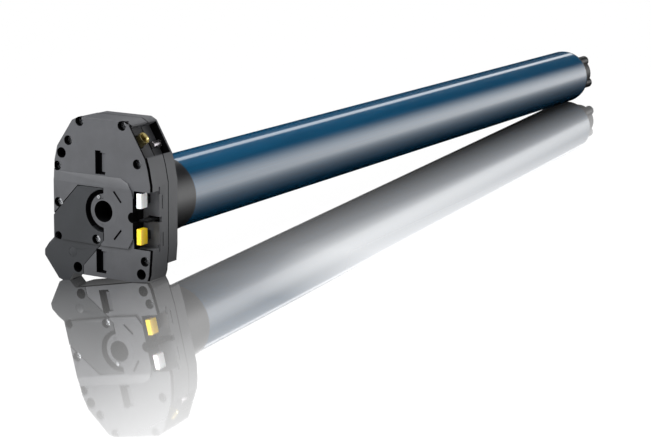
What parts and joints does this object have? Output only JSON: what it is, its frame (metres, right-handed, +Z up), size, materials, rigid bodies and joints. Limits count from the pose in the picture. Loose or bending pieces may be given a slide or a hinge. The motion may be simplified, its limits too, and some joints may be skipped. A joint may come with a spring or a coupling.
{
  "type": "tubular roller blind motor",
  "caption": "Tubular motor for a roller blind or shutter: flat head with hub, limit buttons and manual override, limit ring, long blue tube and lobed drive wheel.",
  "frame": {"origin": "centre of the hub's bore at the head's front face", "axes": "+X along the tube from the head to the drive wheel, +Z up as the head stands on its flat bottom, +Y to the left of the head seen from the front"},
  "size_m": [0.754, 0.0794, 0.1038],
  "materials": {
    "housing": "moulded, fine texture, satin",
    "cover": "moulded, satin",
    "black_plastic": "moulded, satin",
    "white_plastic": "moulded, gloss",
    "yellow_plastic": "moulded, gloss",
    "blue_paint": "gloss paint",
    "steel": "turned",
    "brass": "turned",
    "copper": "enamelled wire",
    "cast_alloy": "die cast"
  },
  "bodies": {
    "head": {"front_plate": "housing", "cable_cover": "cover", "mid_housing": "housing", "rear_housing": "housing", "hub_bush": "housing", "plate_screws": "steel", "cover_screws": "steel", "hub_screw": "steel", "power_socket": "black_plastic", "socket_pins": "brass", "switch_block": "black_plastic", "retaining_pin": "steel", "worm_bushes": "brass"},
    "tube": {"motor_tube": "blue_paint", "tube_stub": "cast_alloy", "worm_wheel": "brass", "wheel_clip": "steel", "capacitor_holder": "black_plastic", "capacitor": "white_plastic", "brake_housing": "cast_alloy", "brake_coil": "copper", "rear_bell": "cast_alloy", "front_bell": "cast_alloy", "motor_bearings": "steel", "stator_core": "steel", "stator_windings": "copper", "gearbox_ring": "cast_alloy", "end_bush": "black_plastic"},
    "override": {"override_socket": "brass", "override_worm": "steel"},
    "limit_ring": {"limit_ring": "black_plastic"},
    "limit_pinion": {"limit_pinion": "white_plastic"},
    "white_button": {"white_button": "white_plastic"},
    "yellow_button": {"yellow_button": "yellow_plastic"},
    "rotor": {"rotor_core": "steel", "rotor_shaft": "steel", "brake_disc": "steel"},
    "carrier_1": {"carrier_1": "steel"},
    "carrier_2": {"carrier_2": "steel"},
    "output": {"output_carrier": "steel", "drive_wheel": "black_plastic", "drive_screw": "steel"},
    "planet_1a": {"planet_1a": "steel"},
    "planet_1b": {"planet_1b": "steel"},
    "planet_1c": {"planet_1c": "steel"},
    "planet_2a": {"planet_2a": "steel"},
    "planet_2b": {"planet_2b": "steel"},
    "planet_2c": {"planet_2c": "steel"},
    "planet_3a": {"planet_3a": "steel"},
    "planet_3b": {"planet_3b": "steel"},
    "planet_3c": {"planet_3c": "steel"}
  },
  "joints": [
    {"name": "tube_turn", "type": "hinge", "parent": "head", "child": "tube", "pos_m": [0.04, 0, 0], "axis": [1, 0, 0], "continuous": true},
    {"name": "override_turn", "type": "hinge", "parent": "head", "child": "override", "pos_m": [0.012, 0.01402, 0.01923], "axis": [0, 0.808, -0.5892], "continuous": true},
    {"name": "limit_ring_turn", "type": "hinge", "parent": "head", "child": "limit_ring", "pos_m": [0.045, 0, 0], "axis": [1, 0, 0], "continuous": true},
    {"name": "limit_pinion_turn", "type": "hinge", "parent": "head", "child": "limit_pinion", "pos_m": [0.02, -0.0267, 0], "axis": [-1, 0, 0], "continuous": true},
    {"name": "white_button_push", "type": "slide", "parent": "head", "child": "white_button", "axis": [0, 1, 0], "range_m": [0, 0.0012], "stiffness_N_per_m": 600, "springref_m": -0.001},
    {"name": "yellow_button_push", "type": "slide", "parent": "head", "child": "yellow_button", "axis": [0, 1, 0], "range_m": [0, 0.0012], "stiffness_N_per_m": 600, "springref_m": -0.001},
    {"name": "rotor_spin", "type": "hinge", "parent": "tube", "child": "rotor", "pos_m": [0.6, 0, 0], "axis": [1, 0, 0], "continuous": true},
    {"name": "carrier_1_turn", "type": "hinge", "parent": "tube", "child": "carrier_1", "pos_m": [0.64, 0, 0], "axis": [1, 0, 0], "continuous": true},
    {"name": "planet_1a_spin", "type": "hinge", "parent": "carrier_1", "child": "planet_1a", "pos_m": [0.64, 0.0108, 0], "axis": [-1, 0, 0], "continuous": true},
    {"name": "planet_1b_spin", "type": "hinge", "parent": "carrier_1", "child": "planet_1b", "pos_m": [0.64, -0.0054, 0.00935], "axis": [-1, 0, 0], "continuous": true},
    {"name": "planet_1c_spin", "type": "hinge", "parent": "carrier_1", "child": "planet_1c", "pos_m": [0.64, -0.0054, -0.00935], "axis": [-1, 0, 0], "continuous": true},
    {"name": "carrier_2_turn", "type": "hinge", "parent": "tube", "child": "carrier_2", "pos_m": [0.66, 0, 0], "axis": [1, 0, 0], "continuous": true},
    {"name": "planet_2a_spin", "type": "hinge", "parent": "carrier_2", "child": "planet_2a", "pos_m": [0.66, 0.0108, 0], "axis": [-1, 0, 0], "continuous": true},
    {"name": "planet_2b_spin", "type": "hinge", "parent": "carrier_2", "child": "planet_2b", "pos_m": [0.66, -0.0054, 0.00935], "axis": [-1, 0, 0], "continuous": true},
    {"name": "planet_2c_spin", "type": "hinge", "parent": "carrier_2", "child": "planet_2c", "pos_m": [0.66, -0.0054, -0.00935], "axis": [-1, 0, 0], "continuous": true},
    {"name": "output_turn", "type": "hinge", "parent": "tube", "child": "output", "pos_m": [0.68, 0, 0], "axis": [1, 0, 0], "continuous": true},
    {"name": "planet_3a_spin", "type": "hinge", "parent": "output", "child": "planet_3a", "pos_m": [0.68, 0.0108, 0], "axis": [-1, 0, 0], "continuous": true},
    {"name": "planet_3b_spin", "type": "hinge", "parent": "output", "child": "planet_3b", "pos_m": [0.68, -0.0054, 0.00935], "axis": [-1, 0, 0], "continuous": true},
    {"name": "planet_3c_spin", "type": "hinge", "parent": "output", "child": "planet_3c", "pos_m": [0.68, -0.0054, -0.00935], "axis": [-1, 0, 0], "continuous": true}
  ],
  "couplings": [
    {"joint": "override_turn", "follows": "tube_turn", "ratio": 37},
    {"joint": "limit_pinion_turn", "follows": "limit_ring_turn", "ratio": 5.3333},
    {"joint": "carrier_1_turn", "follows": "rotor_spin", "ratio": 0.16667},
    {"joint": "planet_1a_spin", "follows": "rotor_spin", "ratio": 0.41667},
    {"joint": "planet_1b_spin", "follows": "rotor_spin", "ratio": 0.41667},
    {"joint": "planet_1c_spin", "follows": "rotor_spin", "ratio": 0.41667},
    {"joint": "carrier_2_turn", "follows": "rotor_spin", "ratio": 0.027778},
    {"joint": "planet_2a_spin", "follows": "rotor_spin", "ratio": 0.069444},
    {"joint": "planet_2b_spin", "follows": "rotor_spin", "ratio": 0.069444},
    {"joint": "planet_2c_spin", "follows": "rotor_spin", "ratio": 0.069444},
    {"joint": "output_turn", "follows": "rotor_spin", "ratio": 0.0046296},
    {"joint": "planet_3a_spin", "follows": "rotor_spin", "ratio": 0.011574},
    {"joint": "planet_3b_spin", "follows": "rotor_spin", "ratio": 0.011574},
    {"joint": "planet_3c_spin", "follows": "rotor_spin", "ratio": 0.011574}
  ]
}
